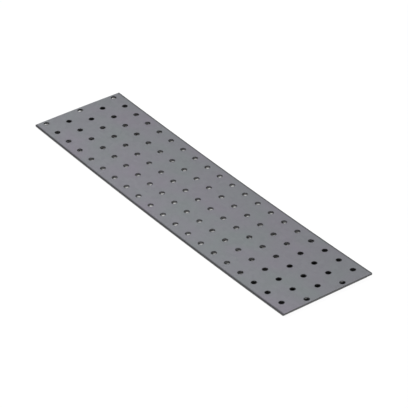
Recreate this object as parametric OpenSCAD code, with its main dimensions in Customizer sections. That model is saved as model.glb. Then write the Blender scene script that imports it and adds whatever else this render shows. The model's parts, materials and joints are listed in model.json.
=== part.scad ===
// Perforated nail plate: one flat piece of galvanised steel sheet, sheared to size, with a
// staggered field of round nail holes punched through it. It joins two timbers that lie side
// by side or end to end, with a nail or a screw through each hole.
//
// Millimetres. X runs along the plate, Y across it and Z up through its thickness. The origin
// is the middle of the underside.
//
// The holes stand in lines along X, the same number in each. Neighbouring lines are half a
// pitch out of step, so each line starts nearer one end of the plate than the other.

/* [Sheet] */
// Length of the plate, along X
plate_length = 400; // [80:20:1200]
// Width of the plate, along Y
plate_width = 100; // [60:20:260]
// Thickness of the sheet
sheet_thickness = 2; // [1:0.5:4]

/* [Nail holes] */
// Diameter of every nail hole
hole_d = 5; // [3:0.5:7]
// Distance between neighbouring holes of one line
hole_pitch = 20; // [20:1:40]
// Distance between neighbouring lines of holes
line_pitch = 20; // [10:1:20]

/* [Hidden] */

// Holes in every line
line_holes = floor(plate_length / hole_pitch);
// Lines of holes: always an odd number, so that the field looks the same from either long edge
hole_lines = 2 * floor((plate_width / line_pitch - 1) / 2) + 1;
// How far a line's middle stands off the plate's middle, to one end and the other by turns
line_shift = hole_pitch / 4;
// How far a hole's cutter stands out of each face of the sheet
overcut = 1;
// Facets of a hole's circle in a preview
hole_facets = 48;
// Dull grey of weathered zinc
zinc_grey = [0.52, 0.52, 0.54];

module nail_hole() {
    translate([0, 0, -overcut])
        cylinder(h = sheet_thickness + 2 * overcut, d = hole_d, $fn = hole_facets);
}

// One line of holes along X, its middle at the origin
module hole_line() {
    for (i = [0 : line_holes - 1])
        translate([(i - (line_holes - 1) / 2) * hole_pitch, 0, 0])
            nail_hole();
}

// The whole field. The outer lines, and every second line between them, start nearer the -X end
module nail_holes() {
    for (line = [0 : hole_lines - 1]) {
        towards = line % 2 == 0 ? -1 : 1;
        translate([towards * line_shift, (line - (hole_lines - 1) / 2) * line_pitch, 0])
            hole_line();
    }
}

module sheared_sheet() {
    translate([-plate_length / 2, -plate_width / 2, 0])
        cube([plate_length, plate_width, sheet_thickness]);
}

module nail_plate() {
    color(zinc_grey)
        difference() {
            sheared_sheet();
            nail_holes();
        }
}

nail_plate();
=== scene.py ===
# The looks of a perforated nail plate: galvanised sheet steel with sheared edges and punched
# holes, lying on a pale floor. The sheet is slightly bowed, so its ends stand off the floor.
import json
import math

import bpy
from mathutils import Matrix, Vector, noise


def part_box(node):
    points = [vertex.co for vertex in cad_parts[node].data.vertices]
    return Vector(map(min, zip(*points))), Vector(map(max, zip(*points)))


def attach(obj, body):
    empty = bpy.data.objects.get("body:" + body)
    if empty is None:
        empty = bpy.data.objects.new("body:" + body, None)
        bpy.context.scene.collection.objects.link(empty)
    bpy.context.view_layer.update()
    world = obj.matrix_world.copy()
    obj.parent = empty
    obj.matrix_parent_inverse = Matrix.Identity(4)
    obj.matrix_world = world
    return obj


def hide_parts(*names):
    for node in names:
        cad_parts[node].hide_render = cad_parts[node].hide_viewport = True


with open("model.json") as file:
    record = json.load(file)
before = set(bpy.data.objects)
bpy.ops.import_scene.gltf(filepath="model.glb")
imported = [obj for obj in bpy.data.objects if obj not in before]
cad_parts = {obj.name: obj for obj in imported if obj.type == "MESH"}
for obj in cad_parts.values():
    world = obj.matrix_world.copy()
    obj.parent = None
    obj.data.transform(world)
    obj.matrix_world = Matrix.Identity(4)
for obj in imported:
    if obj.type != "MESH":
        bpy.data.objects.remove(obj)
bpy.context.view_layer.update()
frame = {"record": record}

plate_low, plate_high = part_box("nail_plate")

MM = 0.001
DEGREE = math.pi / 180

# The sheet
THICKNESS = plate_high.z - plate_low.z
BOW = 2.9 * MM  # how far the ends stand above the middle
BOW_LEAN = 0.2 * MM  # how much more the +X end stands up, and how much less the other
CROWN = 0.3 * MM  # how far the middle of its width stands above the sides
WAVE_HEIGHT = 0.05 * MM  # long shallow waves that rolling leaves in the sheet
WAVES_PER_METRE = 11
DISH_DEPTH = 0.03 * MM  # how far a punch pulls the rim of its hole down
DISH_REACH = 2.0 * MM

# A cut edge, from the upper face down: the steel is drawn over the rim, then sheared smooth,
# then torn, and a small burr is left standing on the underside. Slitting the long sides draws
# the steel over further than punching the holes or cropping the ends does
HOLE_ROLL = (0.25 * MM, 0.12 * MM)  # width and depth
SIDE_ROLL = (0.75 * MM, 0.20 * MM)
END_ROLL = (0.30 * MM, 0.12 * MM)
SMOOTH_SHARE = 0.35  # of the thickness, below the rolled rim
TEAR_SLOPE = 0.10 * MM  # how far the torn part leans into the steel
TEAR_DEPTH = 0.03 * MM  # how uneven the torn part is
TEAR_GRAIN = 0.35 * MM  # how far apart its bumps are
BURR_HEIGHT = 0.05 * MM
BURR_WIDTH = 0.10 * MM

# The mesh
CELLS_PER_PITCH = 12
CORNER_STEPS = 4
ROLL_STEPS = 4
TORN_STEPS = 3
RING_NEAR = 0.7 * MM  # rings of points round a hole, measured from its wall
RING_FAR = 1.5 * MM
SHARP_ANGLE = 35 * DEGREE

# How fine each pattern of the surfaces is: features per metre along X, Y and Z
CLOUDS = (18, 26, 26)
SPANGLE = (190, 230, 230)
ROLLING_LINES = (6, 900, 900)
SCUFFS = (260, 420, 420)
PEEL = (700, 900, 900)
STREAKS = (2600, 2600, 220)

# The zinc. Its shade is a share of its tint
ZINC_TINTS = ((0.346, 0.328, 0.378, 1), (0.321, 0.345, 0.357, 1))  # faintly violet, faintly green
TINT_SPREAD = (-0.9, 1.9)  # what the clouds' 0 to 1 is brought to, before it is cut to 0 to 1
SPANGLE_SHADE = 0.02
LINE_SHADE = 0.02  # of the lines that rolling leaves
# Painted shade: the zinc is darkened in a band along each slit side
SIDE_BAND = 2.4 * MM  # how wide a darker band lies along each slit side
SIDE_PAINTED_SHADE = 0.18
# Painted shade: the zinc is darkened at the rim of each hole
RIM_PAINTED_SHADE = 0.35  # at the rim of each hole
ZINC_METALLIC = 0.9
ZINC_ROUGHNESS = (0.35, 0.51)
SPANGLE_ROUGHNESS = 0.05
ZINC_BUMP = 0.12

# The bare steel of the cuts: the darkest and lightest grey of its streaks, and its roughness
SMOOTH_STEEL = (0.12, 0.17, 0.25)
TORN_STEEL = (0.14, 0.22, 0.32)
# The slit sides' steel is dark bare steel darkened further with painted shade; the cropped ends get part of
# it
SLIT_STEEL_AND_PAINTED_SHADE = (0.055, 0.055, 0.058, 1)
END_SLIT = 0.6  # how much of that the cropped ends have
STREAK_SPREAD = (-0.2, 1.2)  # what the streaks' 0 to 1 is brought to, before it is cut to 0 to 1
STREAK_ROUGHNESS = 0.05
CUT_BUMP = 0.3
BUMP_HEIGHT = 0.05 * MM

# The camera looks down on a corner of the plate from some way off, through a long lens
CAMERA_AZIMUTH = 55.1 * DEGREE
CAMERA_ELEVATION = 33.6 * DEGREE
CAMERA_ROLL = -1.9 * DEGREE
CAMERA_DISTANCE = 2.08
CAMERA_LENS_MM = 196.5
CAMERA_AIM = Vector((0.0121, 0.0018, 0.0002))
SENSOR_MM = 36

# The floor glows a little short of white, and the lamps on it make up the rest
FLOOR_HALF = 9.0
FLOOR_HEIGHT = -0.10 * MM
FLOOR_ALBEDO = 0.06
FLOOR_GLOW = 0.96
PALE_ROUGHNESS = 0.9

# The card under the plate doesn't glow. It is white in the middle, with painted shade darkening it towards
# the plate's raised ends, where the deep shade falls, and a white strip lies along its -X edge
CARD_HEIGHT = -0.02 * MM
CARD_WHITE = 0.75
CARD_PAINTED_SHADE = 0.10
CARD_MIDDLE = -20 * MM  # the x that the white middle is centred on
CARD_FADE = (130 * MM, 165 * MM)  # where it starts and ends to darken, either way from there
CARD_LOW_INSET = (4.5 * MM, 4 * MM)  # from the plate's outline, along X and Y
CARD_HIGH_INSET = (3.4 * MM, 3 * MM)
STRIP_OVERHANG = 1 * MM  # how far the strip stands out of the plate's -X end

# The sky is bright in a low band and dim above it
SKY_BAND = 9 * DEGREE
SKY_DIM = 0.15

# The lamps: name, azimuth from +X towards +Y and elevation in degrees, distance and size in
# metres, and power in watts
LAMPS = (
    ("overhead", 127, 78, 2.45, (2.4, 2.0), 18),
    ("back", 145, 35, 2.4, (2.0, 1.4), 3.4),
    ("back_left", 168, 42, 2.2, (1.4, 1.2), 1.5),
    ("near_side", -90, 50, 0.78, (0.4, 0.3), 3.4),
    ("front_low", -65, 14, 2.2, (1.8, 0.8), 4.0),
)

ZINC, SMOOTH_CUT, TORN_CUT = range(3)


# ---------------------------------------------------------------- the sheet's mesh


def hole_lines():
    """{y: the sorted x of each hole on that line}, from the bolt patterns of the record."""
    lines = {}
    for mount in frame["record"]["mounts"]:
        if mount["kind"] != "bolt_pattern":
            continue
        half_x = mount["dims"].get("spacing_x_mm", 0) * MM / 2
        half_y = mount["dims"].get("spacing_y_mm", 0) * MM / 2
        for across in (-half_y, half_y):
            for along in (-half_x, half_x):
                y = round(mount["pos_m"][1] + across, 6)
                lines.setdefault(y, set()).add(round(mount["pos_m"][0] + along, 6))
    return {y: sorted(lines[y]) for y in sorted(lines)}


def hole_radius():
    patterns = [m for m in frame["record"]["mounts"] if m["kind"] == "bolt_pattern"]
    return patterns[0]["dims"]["hole_r_mm"] * MM


def spans(places, low, high):
    """The (low, high) of each place's share of a line, with borders midway between neighbours."""
    borders = [low] + [(a + b) / 2 for a, b in zip(places, places[1:])] + [high]
    return list(zip(borders, borders[1:]))


def cut_profile(roll):
    """A cut edge from the upper face to the underside: (depth into the steel, height, torn),
    where torn says that the steel above the point, since the last one, is torn."""
    width, depth = roll
    points = []
    for step in range(ROLL_STEPS + 1):
        turn = step / ROLL_STEPS * math.pi / 2
        points.append((width * (1 - math.sin(turn)), THICKNESS - depth * (1 - math.cos(turn)), False))
    smooth_end = THICKNESS - depth - SMOOTH_SHARE * THICKNESS
    points.append((0.0, smooth_end, False))
    # The TORN_STEPS torn points, then the inner foot of the burr
    points.append((TEAR_SLOPE / 2, (smooth_end + BURR_HEIGHT) / 2, True))
    points.append((TEAR_SLOPE, BURR_HEIGHT, True))
    points.append((TEAR_SLOPE + BURR_WIDTH / 3, 0.0, True))
    points.append((TEAR_SLOPE + BURR_WIDTH, BURR_HEIGHT, False))
    return points


def lift(x, y):
    """How far the bow and the waves of the sheet raise it at a place."""
    along = x / plate_high.x
    across = y / plate_high.y
    wave = noise.noise(Vector((x, y, 0)) * WAVES_PER_METRE)
    return BOW * along**2 + BOW_LEAN * along**3 - CROWN * across**2 + WAVE_HEIGHT * wave


class SheetMesh:
    """The points, faces and face materials of the sheet. rim is 1 at a hole's rim and wall, and
    slit is 1 on the slit sides and less on the cropped ends."""

    def __init__(self):
        self.points = []
        self.faces = []
        self.materials = []
        self.rim = []
        self.slit = []
        self.lattice = {}

    def point(self, x, y, height, rim=0.0, slit=0.0):
        self.points.append((x, y, height + lift(x, y)))
        self.rim.append(rim)
        self.slit.append(slit)
        return len(self.points) - 1

    def lattice_point(self, column, row, step, height):
        """A point that neighbouring cells share. At the sheet's outline it keeps off the cut edge."""
        key = (column, row, height)
        if key not in self.lattice:
            first_or_last = 0 if height == THICKNESS else -1
            end_inset = cut_profile(END_ROLL)[first_or_last][0]
            side_inset = cut_profile(SIDE_ROLL)[first_or_last][0]
            x = plate_low.x + column * step
            y = plate_low.y + row * step
            x = min(max(x, plate_low.x + end_inset), plate_high.x - end_inset)
            y = min(max(y, plate_low.y + side_inset), plate_high.y - side_inset)
            self.lattice[key] = self.point(x, y, height)
        return self.lattice[key]

    def strip(self, first, second, material):
        """Faces between two closed rings. Where both have one point twice, the face is left out."""
        for k in range(len(first)):
            n = (k + 1) % len(first)
            face = [first[k], first[n], second[n], second[k]]
            corners = [p for i, p in enumerate(face) if p != face[i - 1]]
            if len(corners) > 2:
                self.faces.append(corners)
                self.materials.append(material)


def grain(x, y, height):
    """The unevenness of torn steel, from -1 to 1."""
    return noise.noise(Vector((x, y, height)) / TEAR_GRAIN)


def border_of(low_column, high_column, low_row, high_row):
    """The lattice places round a cell, anticlockwise from its lowest corner, side by side."""
    bottom = [(c, low_row) for c in range(low_column, high_column)]
    right = [(high_column, r) for r in range(low_row, high_row)]
    top = [(c, high_row) for c in range(high_column, low_column, -1)]
    left = [(low_column, r) for r in range(high_row, low_row, -1)]
    return [bottom, right, top, left]


def turns_of(sides, step, centre):
    """The angle of each border point on the hole's circle: evenly spread between the cell's corners."""
    corner_turns = []
    for side in sides:
        x = plate_low.x + side[0][0] * step - centre[0]
        y = plate_low.y + side[0][1] * step - centre[1]
        corner_turns.append(math.atan2(y, x))
    turns = []
    for k, side in enumerate(sides):
        start = corner_turns[k]
        sweep = (corner_turns[(k + 1) % 4] - start) % (2 * math.pi)
        turns += [start + sweep * i / len(side) for i in range(len(side))]
    return turns


def punched_cell(mesh, centre, sides, step, radius):
    """One hole and the sheet round it, on both faces, out to the borders it shares."""
    turns = turns_of(sides, step, centre)
    places = [place for side in sides for place in side]
    profile = cut_profile(HOLE_ROLL)

    def ring(into, height, torn=False):
        dish = DISH_DEPTH * max(0.0, 1 - into / DISH_REACH) ** 2 if height > THICKNESS / 2 else 0.0
        made = []
        for turn in turns:
            reach = radius + into
            if torn:
                along = reach * math.cos(turn) + centre[0]
                reach += TEAR_DEPTH * grain(along, reach * math.sin(turn), height)
            x = centre[0] + reach * math.cos(turn)
            y = centre[1] + reach * math.sin(turn)
            made.append(mesh.point(x, y, height - dish, rim=float(into < RING_NEAR)))
        return made

    def halfway(border, inner, height):
        made = []
        for outer, near in zip(border, inner):
            x = (mesh.points[outer][0] + mesh.points[near][0]) / 2
            y = (mesh.points[outer][1] + mesh.points[near][1]) / 2
            made.append(mesh.point(x, y, height))
        return made

    upper_border = [mesh.lattice_point(c, r, step, THICKNESS) for c, r in places]
    far = ring(RING_FAR, THICKNESS)
    rings = [upper_border, halfway(upper_border, far, THICKNESS), far, ring(RING_NEAR, THICKNESS)]
    rings_before = len(rings)
    rings += [ring(into, height, torn) for into, height, torn in profile]
    under = profile[-1][1]
    far = ring(RING_FAR, under)
    under_border = [mesh.lattice_point(c, r, step, under) for c, r in places]
    rings += [far, halfway(under_border, far, under), under_border]

    for k in range(len(rings) - 1):
        mesh.strip(rings[k], rings[k + 1], surface_below(k - rings_before))


def surface_below(point):
    """The surface between a point of the cut profile and the next one down."""
    if point < ROLL_STEPS or point > ROLL_STEPS + TORN_STEPS:
        return ZINC
    return SMOOTH_CUT if point == ROLL_STEPS else TORN_CUT


def outline(columns, rows):
    """The lattice places round the sheet with the way that each faces, anticlockwise."""
    places = []
    for k, side in enumerate(border_of(0, columns, 0, rows)):
        facing = (k - 1) * math.pi / 2
        before = facing - math.pi / 2
        for i in range(CORNER_STEPS):
            places.append((side[0], before + (facing - before) * i / CORNER_STEPS))
        places += [(place, facing) for place in side]
    return places


def sheared_edge(mesh, columns, rows, step):
    """The four sheared sides, from the upper face round to the underside."""
    places = outline(columns, rows)
    end, side = cut_profile(END_ROLL), cut_profile(SIDE_ROLL)
    upper = [mesh.lattice_point(c, r, step, THICKNESS) for (c, r), _ in places]
    under = [mesh.lattice_point(c, r, step, end[-1][1]) for (c, r), _ in places]
    rings = [upper]
    for (end_into, end_height, torn), (side_into, side_height, _) in zip(end[1:-1], side[1:-1]):
        made = []
        for start, (_, facing) in zip(upper, places):
            x, y, _ = mesh.points[start]
            slit = math.sin(facing) ** 2
            height = end_height + (side_height - end_height) * slit
            rough = TEAR_DEPTH * abs(grain(x, y, height)) if torn else 0.0
            x += (end[0][0] - end_into - rough) * math.cos(facing)
            y += (side[0][0] - side_into - rough) * math.sin(facing)
            made.append(mesh.point(x, y, height, slit=END_SLIT + (1 - END_SLIT) * slit))
        rings.append(made)
    rings.append(under)
    for k in range(len(rings) - 1):
        mesh.strip(rings[k][::-1], rings[k + 1][::-1], surface_below(k))


def build_sheet():
    lines = hole_lines()
    radius = hole_radius()
    first_line = next(iter(lines.values()))
    step = (first_line[1] - first_line[0]) / CELLS_PER_PITCH
    mesh = SheetMesh()

    def column(x):
        return round((x - plate_low.x) / step)

    def row(y):
        return round((y - plate_low.y) / step)

    for (y, places), (y_low, y_high) in zip(lines.items(), spans(list(lines), plate_low.y, plate_high.y)):
        for x, (x_low, x_high) in zip(places, spans(places, plate_low.x, plate_high.x)):
            sides = border_of(column(x_low), column(x_high), row(y_low), row(y_high))
            punched_cell(mesh, (x, y), sides, step, radius)
    sheared_edge(mesh, column(plate_high.x), row(plate_high.y), step)

    lowest = min(z for _, _, z in mesh.points)
    data = bpy.data.meshes.new("galvanised_plate")
    data.from_pydata([(x, y, z - lowest) for x, y, z in mesh.points], [], mesh.faces)
    data.polygons.foreach_set("material_index", mesh.materials)
    data.shade_smooth()
    data.set_sharp_from_angle(angle=SHARP_ANGLE)
    for name, values in (("rim", mesh.rim), ("slit", mesh.slit)):
        data.attributes.new(name, "FLOAT", "POINT").data.foreach_set("value", values)
    data.validate()
    plate = bpy.data.objects.new("galvanised_plate", data)
    bpy.context.scene.collection.objects.link(plate)
    return plate


# ---------------------------------------------------------------- materials


class Nodes:
    """A new material and short ways to add nodes to it."""

    def __init__(self, name):
        self.material = bpy.data.materials.new(name)
        self.material.use_nodes = True
        self.tree = self.material.node_tree
        self.shader = self.tree.nodes["Principled BSDF"]

    def node(self, kind, **settings):
        made = self.tree.nodes.new(kind)
        for name, value in settings.items():
            setattr(made, name, value)
        return made

    def link(self, output, socket):
        self.tree.links.new(output, socket)

    def place(self):
        """The X, Y and Z of the place on the object, in metres."""
        apart = self.node("ShaderNodeSeparateXYZ")
        self.link(self.node("ShaderNodeTexCoord").outputs["Object"], apart.inputs["Vector"])
        return apart.outputs

    def stretched(self, per_metre):
        """The place on the object in metres, times a scale for each axis."""
        place = self.node("ShaderNodeTexCoord").outputs["Object"]
        mapping = self.node("ShaderNodeMapping")
        mapping.inputs["Scale"].default_value = per_metre
        self.link(place, mapping.inputs["Vector"])
        return mapping.outputs["Vector"]

    def noise(self, per_metre, detail=3.0, roughness=0.5):
        where = self.stretched(per_metre)
        made = self.node("ShaderNodeTexNoise")
        made.inputs["Scale"].default_value = 1.0
        made.inputs["Detail"].default_value = detail
        made.inputs["Roughness"].default_value = roughness
        self.link(where, made.inputs["Vector"])
        return made.outputs["Fac"]

    def between(self, value, low, high, smooth=False):
        """value from 0 to 1 brought to the range from low to high."""
        made = self.node("ShaderNodeMapRange")
        if smooth:
            made.interpolation_type = "SMOOTHSTEP"
        made.inputs["To Min"].default_value = low
        made.inputs["To Max"].default_value = high
        self.link(value, made.inputs["Value"])
        return made.outputs["Result"]

    def math(self, operation, first, second=0.0):
        made = self.node("ShaderNodeMath", operation=operation)
        for socket, value in zip(made.inputs, (first, second)):
            if isinstance(value, (int, float)):
                socket.default_value = value
            else:
                self.link(value, socket)
        return made.outputs["Value"]

    def mix(self, factor, first, second, blend="MIX"):
        made = self.node("ShaderNodeMix", data_type="RGBA", blend_type=blend)
        for name, value in (("Factor_Float", factor), ("A_Color", first), ("B_Color", second)):
            socket = next(s for s in made.inputs if s.identifier == name)
            if isinstance(value, (int, float, tuple)):
                socket.default_value = value
            else:
                self.link(value, socket)
        return next(s for s in made.outputs if s.identifier == "Result_Color")

    def bump(self, height, strength):
        made = self.node("ShaderNodeBump")
        made.inputs["Strength"].default_value = strength
        made.inputs["Distance"].default_value = BUMP_HEIGHT
        self.link(height, made.inputs["Height"])
        self.link(made.outputs["Normal"], self.shader.inputs["Normal"])


def side_share(nodes):
    """From 0 to 1 over the last stretch before either long side of the plate."""
    across = nodes.math("ABSOLUTE", nodes.place()["Y"])
    into_band = nodes.math("SUBTRACT", across, plate_high.y - SIDE_BAND)
    return nodes.math("DIVIDE", into_band, SIDE_BAND)


def zinc_material():
    """Hot-dip zinc on rolled sheet: a faint spangle, cloudy tints, rolling lines and light scuffs, with
    painted shade along the long sides and round the holes.
    """
    nodes = Nodes("galvanised_zinc")
    shader = nodes.shader

    clouds = nodes.noise(CLOUDS)
    tint = nodes.mix(nodes.between(clouds, *TINT_SPREAD), *ZINC_TINTS)

    spangle = nodes.node("ShaderNodeTexVoronoi", feature="F1")
    spangle.inputs["Scale"].default_value = 1.0
    nodes.link(nodes.stretched(SPANGLE), spangle.inputs["Vector"])
    crystal = nodes.node("ShaderNodeSeparateColor")
    nodes.link(spangle.outputs["Color"], crystal.inputs["Color"])

    lines = nodes.noise(ROLLING_LINES, roughness=0.6)
    crystal_shade = nodes.between(crystal.outputs["Red"], -SPANGLE_SHADE, SPANGLE_SHADE)
    shade = nodes.math("ADD", crystal_shade, nodes.between(lines, -LINE_SHADE, LINE_SHADE))
    # painted shade in a band along each long side
    shade = nodes.math("ADD", shade, nodes.between(side_share(nodes), 1.0, SIDE_PAINTED_SHADE, smooth=True))
    # painted shade round each hole's rim, where rim is 1
    rim = nodes.node("ShaderNodeAttribute", attribute_name="rim").outputs["Fac"]
    shade = nodes.math("MULTIPLY", shade, nodes.between(rim, 1.0, RIM_PAINTED_SHADE, smooth=True))
    grey = nodes.node("ShaderNodeCombineColor")
    for name in ("Red", "Green", "Blue"):
        nodes.link(shade, grey.inputs[name])
    nodes.link(nodes.mix(1.0, tint, grey.outputs["Color"], blend="MULTIPLY"), shader.inputs["Base Color"])

    scuffs = nodes.noise(SCUFFS, detail=4.0)
    crystal_rough = nodes.between(crystal.outputs["Green"], -SPANGLE_ROUGHNESS, SPANGLE_ROUGHNESS)
    rough = nodes.math("ADD", nodes.between(scuffs, *ZINC_ROUGHNESS), crystal_rough)
    nodes.link(rough, shader.inputs["Roughness"])
    shader.inputs["Metallic"].default_value = ZINC_METALLIC

    nodes.bump(nodes.noise(PEEL), ZINC_BUMP)
    return nodes.material


def cut_steel_material(name, darkest, lightest, roughness):
    """Bare steel, streaked down through the thickness. The slit sides are darker than the rest: bare steel
    darkened further with painted shade, which the cropped ends get less of.
    """
    nodes = Nodes(name)
    shader = nodes.shader
    streaks = nodes.noise(STREAKS)
    slit = nodes.node("ShaderNodeAttribute", attribute_name="slit").outputs["Fac"]
    colour = nodes.mix(nodes.between(streaks, *STREAK_SPREAD), (darkest,) * 3 + (1,), (lightest,) * 3 + (1,))
    # painted shade on the slit sides, less on the cropped ends
    nodes.link(nodes.mix(slit, colour, SLIT_STEEL_AND_PAINTED_SHADE), shader.inputs["Base Color"])
    rough = nodes.between(streaks, roughness - STREAK_ROUGHNESS, roughness + STREAK_ROUGHNESS)
    nodes.link(rough, shader.inputs["Roughness"])
    shader.inputs["Metallic"].default_value = 1.0
    nodes.bump(streaks, CUT_BUMP)
    return nodes.material


def pale_material(name, albedo, glow):
    nodes = Nodes(name)
    nodes.shader.inputs["Base Color"].default_value = (albedo, albedo, albedo, 1)
    nodes.shader.inputs["Roughness"].default_value = PALE_ROUGHNESS
    nodes.shader.inputs["Emission Color"].default_value = (1, 1, 1, 1)
    nodes.shader.inputs["Emission Strength"].default_value = glow
    return nodes.material


def card_material():
    """Matt card, white in the middle, with painted shade darkening it towards both ends."""
    nodes = Nodes("matt_card_painted_shade")
    fade_from, fade_to = CARD_FADE
    from_middle = nodes.math("ABSOLUTE", nodes.math("SUBTRACT", nodes.place()["X"], CARD_MIDDLE))
    into_fade = nodes.math("SUBTRACT", from_middle, fade_from)
    share = nodes.math("DIVIDE", into_fade, fade_to - fade_from)
    # painted shade: the card darkens towards both ends
    albedo = nodes.between(share, CARD_WHITE, CARD_PAINTED_SHADE, smooth=True)
    nodes.link(albedo, nodes.shader.inputs["Base Color"])
    nodes.shader.inputs["Roughness"].default_value = PALE_ROUGHNESS
    return nodes.material


# ---------------------------------------------------------------- stage, light and camera


def flat_sheet(name, low, high, height, material):
    data = bpy.data.meshes.new(name)
    corners = [(low[0], low[1], height), (high[0], low[1], height)]
    corners += [(high[0], high[1], height), (low[0], high[1], height)]
    data.from_pydata(corners, [], [(0, 1, 2, 3)])
    data.materials.append(material)
    made = bpy.data.objects.new(name, data)
    bpy.context.scene.collection.objects.link(made)


def build_floor():
    """A lit white floor, and on it the card and its strip, which the plate all but hides."""
    lit_floor = pale_material("lit_floor", FLOOR_ALBEDO, FLOOR_GLOW)
    flat_sheet("floor", (-FLOOR_HALF, -FLOOR_HALF), (FLOOR_HALF, FLOOR_HALF), FLOOR_HEIGHT, lit_floor)
    low = (plate_low.x + CARD_LOW_INSET[0], plate_low.y + CARD_LOW_INSET[1])
    high = (plate_high.x - CARD_HIGH_INSET[0], plate_high.y - CARD_HIGH_INSET[1])
    flat_sheet("card", low, high, CARD_HEIGHT, card_material())
    strip_low = (plate_low.x - STRIP_OVERHANG, low[1])
    strip_high = (low[0], high[1])
    matt_strip = pale_material("matt_strip", CARD_WHITE, 0.0)
    flat_sheet("card_strip", strip_low, strip_high, CARD_HEIGHT, matt_strip)


def softbox(name, azimuth, elevation, distance, size, power):
    """A flat lamp, aimed at the middle of the plate."""
    azimuth *= DEGREE
    elevation *= DEGREE
    level = math.cos(elevation)
    away = Vector((math.cos(azimuth) * level, math.sin(azimuth) * level, math.sin(elevation)))
    light = bpy.data.lights.new(name, "AREA")
    light.shape = "RECTANGLE"
    light.size, light.size_y = size
    light.energy = power
    lamp = bpy.data.objects.new(name, light)
    lamp.location = away * distance
    lamp.rotation_euler = away.to_track_quat("Z", "Y").to_euler()
    bpy.context.scene.collection.objects.link(lamp)


def build_world():
    """A soft sky, bright in a low band all round."""
    world = bpy.data.worlds.new("studio")
    world.use_nodes = True
    tree = world.node_tree
    apart = tree.nodes.new("ShaderNodeSeparateXYZ")
    tree.links.new(tree.nodes.new("ShaderNodeTexCoord").outputs["Generated"], apart.inputs["Vector"])
    fade = tree.nodes.new("ShaderNodeMapRange")
    fade.interpolation_type = "SMOOTHSTEP"
    fade.inputs["From Max"].default_value = math.sin(SKY_BAND)
    fade.inputs["To Min"].default_value = 1.0
    fade.inputs["To Max"].default_value = SKY_DIM
    tree.links.new(apart.outputs["Z"], fade.inputs["Value"])
    tree.links.new(fade.outputs["Result"], tree.nodes["Background"].inputs["Strength"])
    tree.nodes["Background"].inputs["Color"].default_value = (1, 1, 1, 1)
    bpy.context.scene.world = world


def build_camera():
    """A camera on the far end of a line from the aim, rolled a little about that line."""
    toward = Vector(
        (
            math.sin(CAMERA_AZIMUTH) * math.cos(CAMERA_ELEVATION),
            -math.cos(CAMERA_AZIMUTH) * math.cos(CAMERA_ELEVATION),
            math.sin(CAMERA_ELEVATION),
        )
    )
    right = Vector((math.cos(CAMERA_AZIMUTH), math.sin(CAMERA_AZIMUTH), 0))
    up = toward.cross(right)
    rolled_right = right * math.cos(CAMERA_ROLL) + up * math.sin(CAMERA_ROLL)
    rolled_up = up * math.cos(CAMERA_ROLL) - right * math.sin(CAMERA_ROLL)
    data = bpy.data.cameras.new("camera")
    data.lens = CAMERA_LENS_MM
    data.sensor_width = SENSOR_MM
    camera = bpy.data.objects.new("camera", data)
    turn = Matrix((rolled_right, rolled_up, toward)).transposed().to_4x4()
    camera.matrix_world = Matrix.Translation(CAMERA_AIM + toward * CAMERA_DISTANCE) @ turn
    bpy.context.scene.collection.objects.link(camera)
    bpy.context.scene.camera = camera


build_camera()
build_floor()
build_world()
for lamp in LAMPS:
    softbox(*lamp)
bpy.context.scene.view_settings.view_transform = "Standard"

plate = build_sheet()
plate.data.materials.append(zinc_material())
plate.data.materials.append(cut_steel_material("smooth_cut_steel", *SMOOTH_STEEL))
plate.data.materials.append(cut_steel_material("torn_cut_steel", *TORN_STEEL))
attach(plate, "root")
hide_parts("nail_plate")
